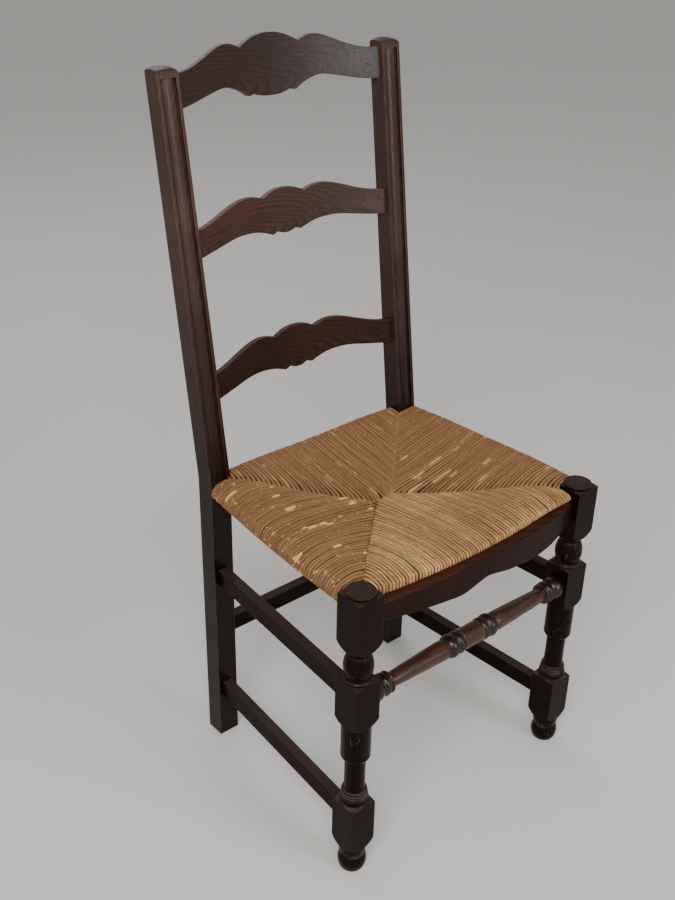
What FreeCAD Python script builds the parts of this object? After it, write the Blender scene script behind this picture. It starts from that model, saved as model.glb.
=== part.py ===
import FreeCAD, Part
import math
import os
from FreeCAD import Vector

# Ladderback chair with a rush seat. Millimetres, +Z up, the chair faces -Y.
# Left means the -X side and right the +X side, as seen from in front.

# Main sizes
overall_height = 1015.0
front_leg_height = 471.5
front_leg_spacing = 409.0
rear_post_spacing = 361.5
rear_post_spread = 9.9
leg_depth_spacing = 341.0

# Front legs: square blocks with turned lengths between them. The lower block is measured up
# from the floor, and the middle block from halfway between it and the top of the leg.
leg_block = 41.0
turning_relief = 0.1
lower_block_top = 121.5
middle_block_above_halfway = 36.0
middle_block_length = 58.5
foot_shoulder_rise = 17.0
middle_shoulder_rise = 12.0
top_shoulder_rise = 17.0

# Turned outlines as (cut below the full radius, height), and as four numbers for an arc through
# the first pair to the second. Heights run up from the floor, or from the block below, and in
# neck_under_middle_block down from the shoulder above.
foot_turning = [(3.8, 0), (0.2, 14.5, 3, 26.5), (3.4, 27.4), (3.4, 28.2), (2.7, 28.8), (1, 36, 0.6, 43)]
turning_over_lower_block = [
    (0.2, 3), (0, 3.6), (0.1, 4.8), (1, 5.4), (0.3, 9.4, 1.4, 13.2), (2, 13.8), (1.4, 15.3, 2.1, 16.8),
    (2.6, 17.3), (2, 19, 2.8, 20.8), (3.3, 21.2), (2.7, 22.8, 3.5, 24.6), (5.8, 25.6),
]
neck_under_middle_block = [(6.2, 80, 5.8, 60.6), (4.8, 60), (1.4, 57.4, 0, 51), (0, 0)]
turning_over_middle_block = [
    (0.1, 2.6), (0, 3.4), (0.1, 4.8), (2.3, 7.2, 2.9, 11), (0.4, 24, 3, 37.4), (4.3, 40.6, 5.8, 43),
    (6.3, 44.6, 6.4, 46.5), (6.4, 48),
]
cap_turning = [
    (1, 4.7), (1, 4.2), (0.2, 2.6, 1.4, 0.7), (2.6, 0.5), (3, 1), (3.4, 0.5), (5.6, 0.35), (6, 0.8), (6.4, 0.3),
]
cap_height = 5.9
cap_dome = (9.0, 0.05)
cap_dimple = (1.8, 1.3)

# Rear posts: upright to the seat, then raked back and slightly spread
post_width = 33.3
post_depth = 31.0
post_width_top = 32.2
post_depth_top = 26.6
bend_below_leg_top = 9.5
rake_back = 77.5
cap_dome_radius = 48.0
cap_edge_radius = 3.2

# Bead run down the front face of each rear post
bead_panel_width = 23.4
bead_width = 19.6
bead_depth = 3.2
bead_stop_below_top = 12.5

# Ladder slats, measured along the rake to the lower corner of each slat end
slat_thickness = 9.5
slat_setback = 9.4
slat_bottom_above_bend = 115.5
slat_middle_above_halfway = 3.75
slat_top_below_top = 51.4
slat_bow = 24.0
slat_top_bow = 29.0
slat_tenon = 12.0
slat_tenon_step = 2.5

# Front apron board under the front edge of the rush
apron_setback = 10.5
apron_bow = 14.0
apron_thickness = 12.0
apron_below_leg_top = 23.5
apron_arris_drop = 5.0
apron_arris_width = 8.0
apron_tenon = 14.0
apron_tenon_below_top = 6.0
apron_tenon_height = 18.0
apron_tenon_step = 2.0

# Stretchers
stretcher_width = 17.0
stretcher_height = 27.0
stretcher_edge_radius = 1.6
front_stretcher_below_block_top = 32.5
side_upper_below_block_top = 17.5
side_lower_below_block_top = 18.5
rear_stretcher_at = 186.5
stretcher_tenon_width = 9.0
stretcher_tenon_step = 3.5
side_tenon = 14.0
rear_tenon = 18.0
round_tenon_radius = 8.0
round_tenon = 13.0

# Outline of the turned front stretcher as (radius, distance): first from its middle outwards,
# then the taper as shares of its length, and last the end rings as distances from the leg
stretcher_middle = [
    (15.2, 0), (15.2, 17.5), (13.8, 18), (13.8, 20), (16.4, 24.2, 13.8, 28.5), (13.8, 30.5),
    (17, 38, 13.6, 45), (12, 46), (13.6, 50, 13.9, 56),
]
stretcher_taper = [(13.2, 0.29, 12.3, 0.54), (11.6, 0.75, 10.2, 1.0)]
stretcher_end = [
    (10.2, 33.5), (15, 33), (15.6, 31.8), (15, 30.4), (13, 29.4), (13, 28.2), (16.2, 23.4, 14.2, 18.6), (13.4, 18),
    (13.4, 17), (17.2, 9.5, 16.6, 0),
]

# Seat rails inside the rush
rail_height = 14.0
rail_under_top = 8.0
front_rail_drop = 4.0
front_rail_inset = 0.2
side_rail_width = 24.0
front_rail_width = 12.5
back_rail_width = 20.0
back_rail_forward = 1.0
rail_edge_radius = 4.0
rail_tenon = 12.0
rail_tenon_width = 8.0
rail_tenon_step = 1.5
front_tenon_step = 2.0
back_tenon_back = 0.5
front_rail_chamfer = 2.5

# Rush seat
rush_below_leg_top = 5.5
rush_thickness = 29.0
rush_overhang = 17.0
rush_back_overhang = 13.0
rush_edge_radius = 11.0
rush_dish_depth = 19.0
rush_dish_radius = 972.0
rush_dish_forward = 6.0
rush_front_inset = 2.0

# Clearances
joint_gap = 0.15
mortise_end_gap = 1.0
soft_gap = 0.3

beyond = overall_height
half_block = leg_block / 2.0
turning_radius = half_block - turning_relief
middle_block_top = (lower_block_top + front_leg_height) / 2 + middle_block_above_halfway
bend_height = front_leg_height - bend_below_leg_top
rush_top = front_leg_height - rush_below_leg_top
apron_top = front_leg_height - apron_below_leg_top
front_stretcher_height = middle_block_top - front_stretcher_below_block_top
side_upper_at = middle_block_top - side_upper_below_block_top - stretcher_height
side_lower_at = lower_block_top - side_lower_below_block_top - stretcher_height
front_x = front_leg_spacing / 2.0
rear_x = rear_post_spacing / 2.0
rear_x_top = (rear_post_spacing + rear_post_spread) / 2.0
rear_front_y = leg_depth_spacing - post_depth / 2.0
block_inner_x = front_x - half_block
post_inner_x = rear_x - post_width / 2.0
rake = math.atan2(rake_back, overall_height - bend_height)
rake_length = (overall_height - bend_height) / math.cos(rake)
slat_bottom_at = slat_bottom_above_bend
slat_top_at = rake_length - slat_top_below_top
slat_middle_at = (slat_bottom_at + slat_top_at) / 2 + slat_middle_above_halfway


def on_rake(x, up, back):
    """A point in the raked plane of the backrest: up the front face of the posts, and back from it."""
    y = rear_front_y + up * math.sin(rake) + back * math.cos(rake)
    z = bend_height + up * math.cos(rake) - back * math.sin(rake)
    return Vector(x, y, z)


def rake_up(distance):
    return Vector(0, distance * math.sin(rake), distance * math.cos(rake))


def rake_back_by(distance):
    return Vector(0, distance * math.cos(rake), -distance * math.sin(rake))


def line(a, b):
    return Part.LineSegment(a, b).toShape()


def arc(a, b, c):
    return Part.Arc(a, b, c).toShape()


def curve(points):
    spline = Part.BSplineCurve()
    spline.interpolate(points)
    return spline.toShape()


def face(edges):
    return Part.Face(Part.Wire(edges))


def polygon(points):
    return Part.Face(Part.makePolygon(points + [points[0]]))


def block(x0, x1, y0, y1, z0, z1):
    return Part.makeBox(x1 - x0, y1 - y0, z1 - z0, Vector(x0, y0, z0))


def mirrored(shape):
    return shape.mirror(Vector(0, 0, 0), Vector(1, 0, 0))


def lathe(steps, base):
    """Edges of a turned outline. A step of two numbers is a line to (radius, along),
    and a step of four numbers an arc through the first pair to the second."""
    edges = []
    here = steps[0]
    for step in steps[1:]:
        there = step[-2:]
        if len(step) == 2:
            edges.append(line(base(*here), base(*there)))
        else:
            edges.append(arc(base(*here), base(*step[:2]), base(*there)))
        here = there
    edges.append(line(base(*here), base(*steps[0])))
    return face(edges)


def side_line_x(y):
    """Centre line from a front leg to the rear post behind it."""
    return front_x + (rear_x - front_x) * y / leg_depth_spacing


# Front legs
def turned(outline, above, below=0.0):
    """A turned outline in radii and heights, above one level or below another."""
    steps = []
    for step in outline:
        radii = [turning_radius - cut for cut in step[::2]]
        heights = [above + h if above is not None else below - h for h in step[1::2]]
        steps.append(tuple(value for pair in zip(radii, heights) for value in pair))
    return steps


def shoulder(neck, top_of_neck, rise):
    """The turned shoulder that rounds the four lower corners of a block."""
    wide = leg_block * 0.75
    return (neck + 0.56 * (wide - neck), top_of_neck + 0.38 * rise, wide, top_of_neck + rise)


def front_leg():
    wide = leg_block * 0.75
    upper_block_top = front_leg_height - cap_height
    middle_shoulder = middle_block_top - middle_block_length - middle_shoulder_rise
    steps = [(0, 0)] + turned(foot_turning, 0)
    steps.append(shoulder(*steps[-1][-2:], foot_shoulder_rise))
    steps += [(wide, lower_block_top)] + turned(turning_over_lower_block, lower_block_top)
    steps += turned(neck_under_middle_block, None, middle_shoulder)
    steps.append(shoulder(*steps[-1][-2:], middle_shoulder_rise))
    steps += [(wide, middle_block_top)] + turned(turning_over_middle_block, middle_block_top)
    steps.append(shoulder(*steps[-1][-2:], top_shoulder_rise))
    steps += [(wide, upper_block_top)] + turned(cap_turning, None, front_leg_height)
    steps += [(cap_dome[0], front_leg_height - cap_dome[1], cap_dimple[0], front_leg_height)]
    steps += [(0, front_leg_height - cap_dimple[1])]
    outline = lathe(steps, lambda r, z: Vector(r, 0, z))
    spun = outline.revolve(Vector(0, 0, 0), Vector(0, 0, 1), 360)
    square = block(-half_block, half_block, -half_block, half_block, 0, front_leg_height)
    leg = spun.common(square)
    leg.translate(Vector(front_x, 0, 0))
    return leg


# Rear posts
def rear_post():
    lower = block(post_inner_x, post_inner_x + post_width, rear_front_y, rear_front_y + post_depth, 0, bend_height)
    wires = []
    for x, width, y, depth, z in (
        (rear_x, post_width, rear_front_y, post_depth, bend_height),
        (rear_x_top, post_width_top, rear_front_y + rake_back, post_depth_top, overall_height),
    ):
        corners = [
            Vector(x - width / 2, y, z),
            Vector(x + width / 2, y, z),
            Vector(x + width / 2, y + depth, z),
            Vector(x - width / 2, y + depth, z),
        ]
        wires.append(Part.makePolygon(corners + [corners[0]]))
    upper = Part.makeLoft(wires, True, True)
    post = lower.fuse(upper).removeSplitter()
    top_y = rear_front_y + rake_back + post_depth_top / 2
    reach = post_width_top
    lid = block(rear_x_top - reach, rear_x_top + reach, top_y - reach, top_y + reach,
                overall_height - cap_dome_radius / 2, overall_height + cap_dome_radius)
    dome = Part.makeSphere(cap_dome_radius, Vector(rear_x_top, top_y, overall_height - cap_dome_radius))
    post = post.cut(lid.cut(dome))
    rim = [e for e in post.Edges if e.BoundBox.ZMin > overall_height - cap_dome_radius / 4]
    return post.makeFillet(cap_edge_radius, rim)


def bead_cutter():
    """Everything to take away beside and above the half-round bead, down the front of a post."""
    panel = bead_panel_width / 2
    bead = bead_width / 2

    def at(x, back):
        return on_rake(rear_x + x, 0, back)

    clear = -bead_depth
    edges = [
        line(at(-panel, clear), at(-panel, bead_depth)),
        line(at(-panel, bead_depth), at(-bead, bead_depth)),
        arc(at(-bead, bead_depth), at(0, 0), at(bead, bead_depth)),
        line(at(bead, bead_depth), at(panel, bead_depth)),
        line(at(panel, bead_depth), at(panel, clear)),
        line(at(panel, clear), at(-panel, clear)),
    ]
    run = rake_length - bead_stop_below_top
    lean = (rear_x_top - rear_x) * run / rake_length
    return face(edges).extrude(rake_up(run) + Vector(lean, 0, 0))


# Backrest slats
slat_half = post_inner_x + 2.0
slat_pattern_half = 166.1
slat_stretch = slat_half / slat_pattern_half


def post_face_x(up):
    """The inner face of the right rear post, at a distance up the rake."""
    top_face_x = rear_x_top - post_width_top / 2
    return post_inner_x + (top_face_x - post_inner_x) * up / rake_length


def slat_sheet(bow, x_end, grow, up_from, up_to):
    """The bent board of a slat before its outline is sawn, grown on both faces by a clearance."""
    radius = (slat_half**2 + bow**2) / (2 * bow)
    centre = slat_setback + bow - radius
    near = radius - grow
    far = radius + slat_thickness + grow

    def at(x, r):
        return on_rake(x, up_from, centre + math.sqrt(r * r - x * x))

    edges = [
        arc(at(-x_end, near), at(0, near), at(x_end, near)),
        line(at(x_end, near), at(x_end, far)),
        arc(at(x_end, far), at(0, far), at(-x_end, far)),
        line(at(-x_end, far), at(-x_end, near)),
    ]
    return face(edges).extrude(rake_up(up_to - up_from))


def slat_outline(lower, upper, base, x_end):
    """The sawn outline, from half-outlines given from the end inwards; each list is one smooth run.
    The scallops are drawn for slat_pattern_half and stretch with the slat."""

    def at(point, side):
        return on_rake(side * point[0] * slat_stretch, base + point[1], -post_depth)

    edges = []
    low_end = (x_end / slat_stretch, lower[0][0][1])
    high_end = (x_end / slat_stretch, upper[0][0][1])
    for side in (1, -1):
        edges.append(line(at(low_end, side), at(high_end, side)))
        for runs, end in ((lower, low_end), (upper, high_end)):
            edges.append(line(at(end, side), at(runs[0][0], side)))
            for run in runs:
                edges.append(curve([at(p, side) for p in run]))
    wire = Part.Wire(Part.__sortEdges__(edges))
    return Part.Face(wire).extrude(rake_back_by(4 * post_depth))


slat_room = 20.0
top_slat_lower = [
    [(163, 0), (128, 6), (98, 12.6), (82, 14.8), (64, 11.5), (48, 4.5), (40, -0.6)],
    [(40, -0.6), (35.5, -0.2), (30, 2.0)],
    [(30, 2.0), (20, -2.0), (10, -3.6), (0, -3.9)],
]
top_slat_upper = [
    [(163, 42.8), (142, 45.5), (112, 55.8), (90, 65), (74, 68.4), (59, 66), (49, 61.5)],
    [(49, 61.5), (38, 67.6), (20, 74.2), (0, 76.4)],
]
plain_slat_lower = [
    [(163, 0), (145, 2.6), (116, 7.6), (90, 12), (70, 12.6), (48, 10), (35, 6.2), (25, 2.4)],
    [(25, 2.4), (21, 3.6), (15.5, 5.8)],
    [(15.5, 5.8), (8, 2.6), (0, 1.6)],
]
plain_slat_upper = [
    [(163, 36.8), (140, 40.4), (112, 49.2), (84, 58.2), (66, 60.8), (50, 59.2), (36, 54.6)],
    [(36, 54.6), (27, 59.4), (14, 63.4), (0, 64.4)],
]


def ladder_slat(base, bow, lower, upper, posts):
    low = base - slat_room
    high = base + upper[-1][-1][1] + slat_room
    end_height = upper[0][0][1]
    x_end = post_face_x(base + end_height / 2) + slat_tenon
    into_post = max(post_face_x(base), post_face_x(base + end_height)) + slat_tenon / 2
    body = slat_sheet(bow, into_post, 0, low, high).common(slat_outline(lower, upper, base, into_post + 2))
    body = body.cut(posts[0]).cut(posts[1])
    first = base + slat_tenon_step
    last = base + end_height - slat_tenon_step
    tongue = slat_sheet(bow, x_end, 0, first, last)
    tenons = tongue.common(posts[0]).fuse(tongue.common(posts[1]))
    slat = body.fuse(tenons).removeSplitter()
    mortise = slat_sheet(bow, x_end + mortise_end_gap, joint_gap, first - joint_gap, last + joint_gap)
    return slat, mortise


# Straight stretchers and rails
def softened(shape, radius, along):
    """Rounds the long edges of a bar that runs along one axis."""
    long_edges = [e for e in shape.Edges if abs(e.tangentAt(e.FirstParameter).dot(along)) > 0.98]
    return shape.makeFillet(radius, long_edges)


def side_bar(width, height, z, radius):
    """A bar between the front leg and the rear post on the right."""

    def at(y, side):
        return Vector(side_line_x(y) + side * width / 2, y, z)

    y0 = half_block
    y1 = rear_front_y
    bar = polygon([at(y0, -1), at(y0, 1), at(y1, 1), at(y1, -1)]).extrude(Vector(0, 0, height))
    direction = Vector(side_line_x(y1) - side_line_x(y0), y1 - y0, 0).normalize()
    return softened(bar, radius, direction)


def side_tongue(width, length, z0, z1, grow, end_gap):
    """Both tenons of a side bar in one length; grown, it cuts the mortises."""

    def at(y, side):
        return Vector(side_line_x(y) + side * (width / 2 + grow), y, z0 - grow)

    y0 = half_block - length - end_gap
    y1 = rear_front_y + length + end_gap
    return polygon([at(y0, -1), at(y0, 1), at(y1, 1), at(y1, -1)]).extrude(Vector(0, 0, z1 - z0 + 2 * grow))


def cross_tongue(x_end, y0, y1, z0, z1, grow, end_gap):
    """Both tenons of a bar that crosses the chair from side to side."""
    reach = x_end + end_gap
    return block(-reach, reach, y0 - grow, y1 + grow, z0 - grow, z1 + grow)


def front_stretcher():
    """Turned bar between the front legs, with ring groups in the middle and at both ends."""
    end = block_inner_x
    taper_from = stretcher_middle[-1][-1]
    taper = end - stretcher_end[0][1] - taper_from
    half = list(stretcher_middle)
    for step in stretcher_taper:
        half.append((step[0], taper_from + taper * step[1], step[2], taper_from + taper * step[3]))
    for step in stretcher_end[1:]:
        half.append(tuple(end - value if i % 2 else value for i, value in enumerate(step)))
    steps = [(0, -end - round_tenon), (round_tenon_radius, -end - round_tenon), (round_tenon_radius, -end)]
    steps.append((half[-1][-2], -end))
    for step, before in zip(reversed(half[1:]), reversed(half[:-1])):
        through = (step[0], -step[1]) if len(step) == 4 else ()
        steps.append(through + (before[-2], -before[-1]))
    steps += half[1:]
    steps += [(round_tenon_radius, end), (round_tenon_radius, end + round_tenon), (0, end + round_tenon)]
    z = front_stretcher_height
    outline = lathe(steps, lambda r, x: Vector(x, 0, z + r))
    return outline.revolve(Vector(0, 0, z), Vector(1, 0, 0), 360)


# Bowed front pieces: the apron board and the front seat rail share one centre
apron_end_y = -half_block + apron_setback
bow_radius = (block_inner_x**2 + apron_bow**2) / (2 * apron_bow)
bow_centre = Vector(0, apron_end_y - apron_bow + bow_radius, 0)


def bowed(section):
    """Sweeps a cross-section, drawn as (distance behind the apron face, height), along the bow."""
    points = [Vector(0, apron_end_y - apron_bow + d, z) for d, z in section]
    reach = math.degrees(math.asin((block_inner_x + leg_block) / bow_radius))
    start = polygon(points)
    start.rotate(bow_centre, Vector(0, 0, 1), -reach)
    return start.revolve(bow_centre, Vector(0, 0, 1), 2 * reach)


# The sawn lower edge as (x, depth below the top), drawn for apron_pattern_half
apron_pattern_half = 184.0
apron_lower_edge = [
    [(-184, 29), (-147, 34.5), (-103, 39.5), (-68, 43), (-44, 44.4), (-20, 39), (0, 34.5)],
    [(0, 34.5), (18, 37.4), (40, 43), (64, 46.5), (92, 49.6), (116, 49.8), (140, 47), (163, 39.5), (184, 30)],
]


def front_apron():
    x_end = block_inner_x
    stretch = x_end / apron_pattern_half
    z = apron_top
    drop = apron_arris_drop
    wide = apron_arris_width
    deepest = z - 1.3 * max(depth for run in apron_lower_edge for x, depth in run)
    section = [
        (0, deepest),
        (0, z - drop),
        (wide * 0.25, z - drop * 0.5),
        (wide * 0.6, z - drop * 0.16),
        (wide, z),
        (apron_thickness, z),
        (apron_thickness, deepest),
    ]
    board = bowed(section)

    def at(x, depth):
        return Vector(x, -2 * leg_block, z - depth)

    left = -x_end
    edges = [curve([at(x * stretch, depth) for x, depth in run]) for run in apron_lower_edge]
    edges.append(line(at(x_end, apron_lower_edge[-1][-1][1]), at(x_end, -drop)))
    edges.append(line(at(x_end, -drop), at(left, -drop)))
    edges.append(line(at(left, -drop), at(left, apron_lower_edge[0][0][1])))
    outline = face(edges).extrude(Vector(0, 4 * leg_block, 0))
    tongue_y = (apron_end_y + apron_tenon_step, apron_end_y + apron_thickness - apron_tenon_step)
    tongue_top = z - apron_tenon_below_top
    tongue_z = (tongue_top - apron_tenon_height, tongue_top)
    tongue = cross_tongue(x_end + apron_tenon, *tongue_y, *tongue_z, 0, 0)
    tenons = tongue.cut(block(left, x_end, -beyond, beyond, 0, beyond))
    mortise = cross_tongue(x_end + apron_tenon, *tongue_y, *tongue_z, joint_gap, mortise_end_gap)
    return board.common(outline).fuse(tenons).removeSplitter(), mortise


rail_z = rush_top - rail_under_top - rail_height
front_rail_z = rail_z - front_rail_drop
front_rail_y0 = half_block - front_rail_inset - front_rail_width
front_rail_start = front_rail_y0 - apron_end_y
back_rail_y0 = leg_depth_spacing - back_rail_width / 2 - back_rail_forward


def cross_bar(x_end, y0, y1, z0, z1, radius):
    return softened(block(-x_end, x_end, y0, y1, z0, z1), radius, Vector(1, 0, 0))


def front_rail(grow=0.0):
    near = front_rail_start - grow
    far = front_rail_start + front_rail_width + grow
    z0 = front_rail_z - grow
    z1 = front_rail_z + rail_height + grow
    c = front_rail_chamfer
    section = [
        (near + c, z0), (near, z0 + c), (near, z1 - c), (near + c, z1),
        (far - c, z1), (far, z1 - c), (far, z0 + c), (far - c, z0),
    ]
    room = block(-block_inner_x, block_inner_x, -beyond, beyond, 0, beyond)
    return bowed(section).common(room)


# Rush seat: one dished pad round the four rails, notched for the legs and the posts
def rush_seat(rails, legs):
    front = apron_end_y + apron_thickness + soft_gap
    back = leg_depth_spacing + rush_back_overhang
    over = rush_overhang
    x_front = block_inner_x - rush_front_inset
    y_side = half_block + soft_gap
    bow = apron_bow
    z0 = rush_top - rush_thickness

    def at(x, y):
        return Vector(x, y, z0)

    near = [at(-x_front, front), at(0, front - bow), at(x_front, front)]
    right = [
        at(x_front, y_side),
        at(side_line_x(y_side) + over, y_side),
        at(side_line_x(back) + over, back),
    ]
    left = [Vector(-p.x, p.y, p.z) for p in reversed(right)]
    edges = [arc(*near), line(near[-1], right[0])]
    edges += [line(a, b) for a, b in zip(right, right[1:])]
    edges += [line(right[-1], left[0])]
    edges += [line(a, b) for a, b in zip(left, left[1:])]
    edges += [line(left[-1], near[0])]
    pad = face(edges).extrude(Vector(0, 0, rush_thickness))
    rims = []
    for edge in pad.Edges:
        box = edge.BoundBox
        level = box.ZLength < 0.01
        outer = max(box.XMax, -box.XMin) > front_x and box.YLength > leg_block
        rear = box.YMin > leg_depth_spacing
        if level and (outer or rear):
            rims.append(edge)
    pad = pad.makeFillet(rush_edge_radius, rims)
    dish_z = rush_top - rush_dish_depth + rush_dish_radius
    dish = Part.makeSphere(rush_dish_radius, Vector(0, leg_depth_spacing / 2 - rush_dish_forward, dish_z))
    pad = pad.cut(dish)
    for rail in rails:
        pad = pad.cut(rail)
    for leg in legs:
        pad = pad.cut(leg)
    return pad


# Build
parts = {}
plain_post = rear_post()
plain_posts = (plain_post, mirrored(plain_post))
post_cuts = [bead_cutter()]
slats = (
    ("ladder_slat_top", slat_top_at, slat_top_bow, top_slat_lower, top_slat_upper),
    ("ladder_slat_middle", slat_middle_at, slat_bow, plain_slat_lower, plain_slat_upper),
    ("ladder_slat_bottom", slat_bottom_at, slat_bow, plain_slat_lower, plain_slat_upper),
)
for name, base, bow, lower, upper in slats:
    parts[name], mortise = ladder_slat(base, bow, lower, upper, plain_posts)
    post_cuts.append(mortise)

leg_cuts = []
parts["front_apron"], mortise = front_apron()
leg_cuts.append(mortise)

parts["front_stretcher"] = front_stretcher()
leg_cuts.append(
    Part.makeCylinder(
        round_tenon_radius + joint_gap,
        2 * (block_inner_x + round_tenon + mortise_end_gap),
        Vector(-block_inner_x - round_tenon - mortise_end_gap, 0, front_stretcher_height),
        Vector(1, 0, 0),
    )
)

right_side_bars = (
    ("side_stretcher_upper", stretcher_width, stretcher_height, side_upper_at, stretcher_edge_radius,
     stretcher_tenon_width, stretcher_tenon_step, side_tenon),
    ("side_stretcher_lower", stretcher_width, stretcher_height, side_lower_at, stretcher_edge_radius,
     stretcher_tenon_width, stretcher_tenon_step, side_tenon),
    ("seat_rail", side_rail_width, rail_height, rail_z, rail_edge_radius,
     rail_tenon_width, rail_tenon_step, rail_tenon),
)
gap_between_legs = block(-beyond, beyond, half_block, rear_front_y, 0, beyond)
for name, width, height, z, radius, tenon_width, step, length in right_side_bars:
    bar = side_bar(width, height, z, radius)
    tongue = side_tongue(tenon_width, length, z + step, z + height - step, 0, 0)
    bar = bar.fuse(tongue.cut(gap_between_legs)).removeSplitter()
    cutter = side_tongue(tenon_width, length, z + step, z + height - step, joint_gap, mortise_end_gap)
    leg_cuts.append(cutter)
    post_cuts.append(cutter)
    parts[name + "_right"] = bar
    parts[name + "_left"] = mirrored(bar)

rear_y0 = leg_depth_spacing - stretcher_width / 2
tenon_y = (leg_depth_spacing - stretcher_tenon_width / 2, leg_depth_spacing + stretcher_tenon_width / 2)
tenon_z = (rear_stretcher_at + stretcher_tenon_step, rear_stretcher_at + stretcher_height - stretcher_tenon_step)
bar = cross_bar(post_inner_x, rear_y0, rear_y0 + stretcher_width, rear_stretcher_at,
                rear_stretcher_at + stretcher_height, stretcher_edge_radius)
tongue = cross_tongue(post_inner_x + rear_tenon, tenon_y[0], tenon_y[1], tenon_z[0], tenon_z[1], 0, 0)
between_posts = block(-post_inner_x, post_inner_x, 0, beyond, 0, beyond)
parts["rear_stretcher"] = bar.fuse(tongue.cut(between_posts)).removeSplitter()
post_cuts.append(
    cross_tongue(post_inner_x + rear_tenon, tenon_y[0], tenon_y[1], tenon_z[0], tenon_z[1], joint_gap, mortise_end_gap)
)

back_rail = cross_bar(post_inner_x, back_rail_y0, back_rail_y0 + back_rail_width, front_rail_z,
                      front_rail_z + rail_height, rail_edge_radius)
tenon_y = (leg_depth_spacing + back_tenon_back, leg_depth_spacing + back_tenon_back + rail_tenon_width)
tenon_z = (front_rail_z + rail_tenon_step, front_rail_z + rail_height - rail_tenon_step)
tongue = cross_tongue(post_inner_x + rail_tenon, tenon_y[0], tenon_y[1], tenon_z[0], tenon_z[1], 0, 0)
parts["seat_rail_back"] = back_rail.fuse(tongue.cut(between_posts)).removeSplitter()
post_cuts.append(
    cross_tongue(post_inner_x + rail_tenon, tenon_y[0], tenon_y[1], tenon_z[0], tenon_z[1], joint_gap, mortise_end_gap)
)

front_bar = front_rail()
tenon_y = (front_rail_y0 + front_tenon_step, front_rail_y0 + front_tenon_step + rail_tenon_width)
tongue = cross_tongue(block_inner_x + rail_tenon, tenon_y[0], tenon_y[1], tenon_z[0], tenon_z[1], 0, 0)
between_blocks = block(-block_inner_x, block_inner_x, -beyond, beyond, 0, beyond)
parts["seat_rail_front"] = front_bar.fuse(tongue.cut(between_blocks)).removeSplitter()
leg_cuts.append(
    cross_tongue(block_inner_x + rail_tenon, tenon_y[0], tenon_y[1], tenon_z[0], tenon_z[1], joint_gap, mortise_end_gap)
)

plain_leg = front_leg()
leg = plain_leg
for cutter in leg_cuts:
    leg = leg.cut(cutter)
parts["front_leg_right"] = leg
parts["front_leg_left"] = mirrored(leg)

post = plain_post
for cutter in post_cuts:
    post = post.cut(cutter)
parts["rear_post_right"] = post
parts["rear_post_left"] = mirrored(post)

side_space = side_bar(side_rail_width + 2 * soft_gap, rail_height + 2 * soft_gap, rail_z - soft_gap, rail_edge_radius)
back_space = cross_bar(rear_x, back_rail_y0 - soft_gap, back_rail_y0 + back_rail_width + soft_gap,
                       front_rail_z - soft_gap, front_rail_z + rail_height + soft_gap, rail_edge_radius)
leg_space = block(block_inner_x - soft_gap, beyond, -beyond, half_block + soft_gap, 0, beyond)
post_space = block(post_inner_x - soft_gap, beyond, rear_front_y - soft_gap, beyond, 0, beyond)
rail_spaces = [side_space, mirrored(side_space), back_space, front_rail(soft_gap)]
leg_spaces = [leg_space, mirrored(leg_space), post_space, mirrored(post_space)]
parts["rush_seat"] = rush_seat(rail_spaces, leg_spaces)

# The frame's origin is on the floor under the middle of the chair's bounding box
front_most = apron_end_y - apron_bow
top_sheet_back = slat_setback + slat_top_bow + slat_thickness
rear_most = on_rake(0, slat_top_at + top_slat_upper[-1][-1][1], top_sheet_back).y
middle_y = (front_most + rear_most) / 2
os.makedirs("parts", exist_ok=True)
for name, shape in parts.items():
    shape.translate(Vector(0, -middle_y, 0))
    shape.exportStep("parts/" + name + ".step")
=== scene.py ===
import math

import bpy
import numpy as np
from mathutils import Matrix, Vector


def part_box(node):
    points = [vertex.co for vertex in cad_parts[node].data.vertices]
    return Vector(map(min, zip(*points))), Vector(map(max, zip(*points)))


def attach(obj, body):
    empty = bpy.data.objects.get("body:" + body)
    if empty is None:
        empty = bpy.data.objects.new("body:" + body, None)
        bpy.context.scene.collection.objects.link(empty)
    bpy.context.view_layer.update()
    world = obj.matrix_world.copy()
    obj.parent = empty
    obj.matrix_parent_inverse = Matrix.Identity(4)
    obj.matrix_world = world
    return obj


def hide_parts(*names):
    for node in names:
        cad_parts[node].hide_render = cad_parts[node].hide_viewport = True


bl_info = {
    "name": "Ladderback chair",
    "version": (1, 0, 0),
    "blender": (4, 5, 0),
    "location": "View3D > Sidebar > Chair",
    "description": "Dresses the chair frame in stained oak and weaves its rush seat",
    "category": "Add Mesh",
}

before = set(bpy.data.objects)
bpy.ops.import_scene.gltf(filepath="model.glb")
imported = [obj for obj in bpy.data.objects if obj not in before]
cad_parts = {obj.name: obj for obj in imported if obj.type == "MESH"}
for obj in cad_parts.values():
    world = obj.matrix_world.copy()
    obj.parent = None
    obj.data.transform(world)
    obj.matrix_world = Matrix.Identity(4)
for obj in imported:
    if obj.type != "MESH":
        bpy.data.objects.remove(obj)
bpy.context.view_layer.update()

# Places read from the frame, in metres
leg_low, leg_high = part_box("front_leg_right")
post_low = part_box("rear_post_right")[0]
seat_low, seat_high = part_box("rush_seat")
apron_low, apron_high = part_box("front_apron")
LEG_FACE_X = leg_low.x
LEG_BACK_Y = leg_high.y
POST_FACE_X = post_low.x
POST_FRONT_Y = post_low.y


def colour(hex_value):
    """An sRGB hex colour as linear red, green and blue."""
    channels = [int(hex_value[i:i + 2], 16) / 255 for i in (1, 3, 5)]
    return tuple(c / 12.92 if c <= 0.04045 else ((c + 0.055) / 1.055) ** 2.4 for c in channels)


def shade(tone, share):
    """A linear colour made darker or lighter."""
    return tuple(c * share for c in tone)


def rgba(tone):
    return (*tone, 1.0)


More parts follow.
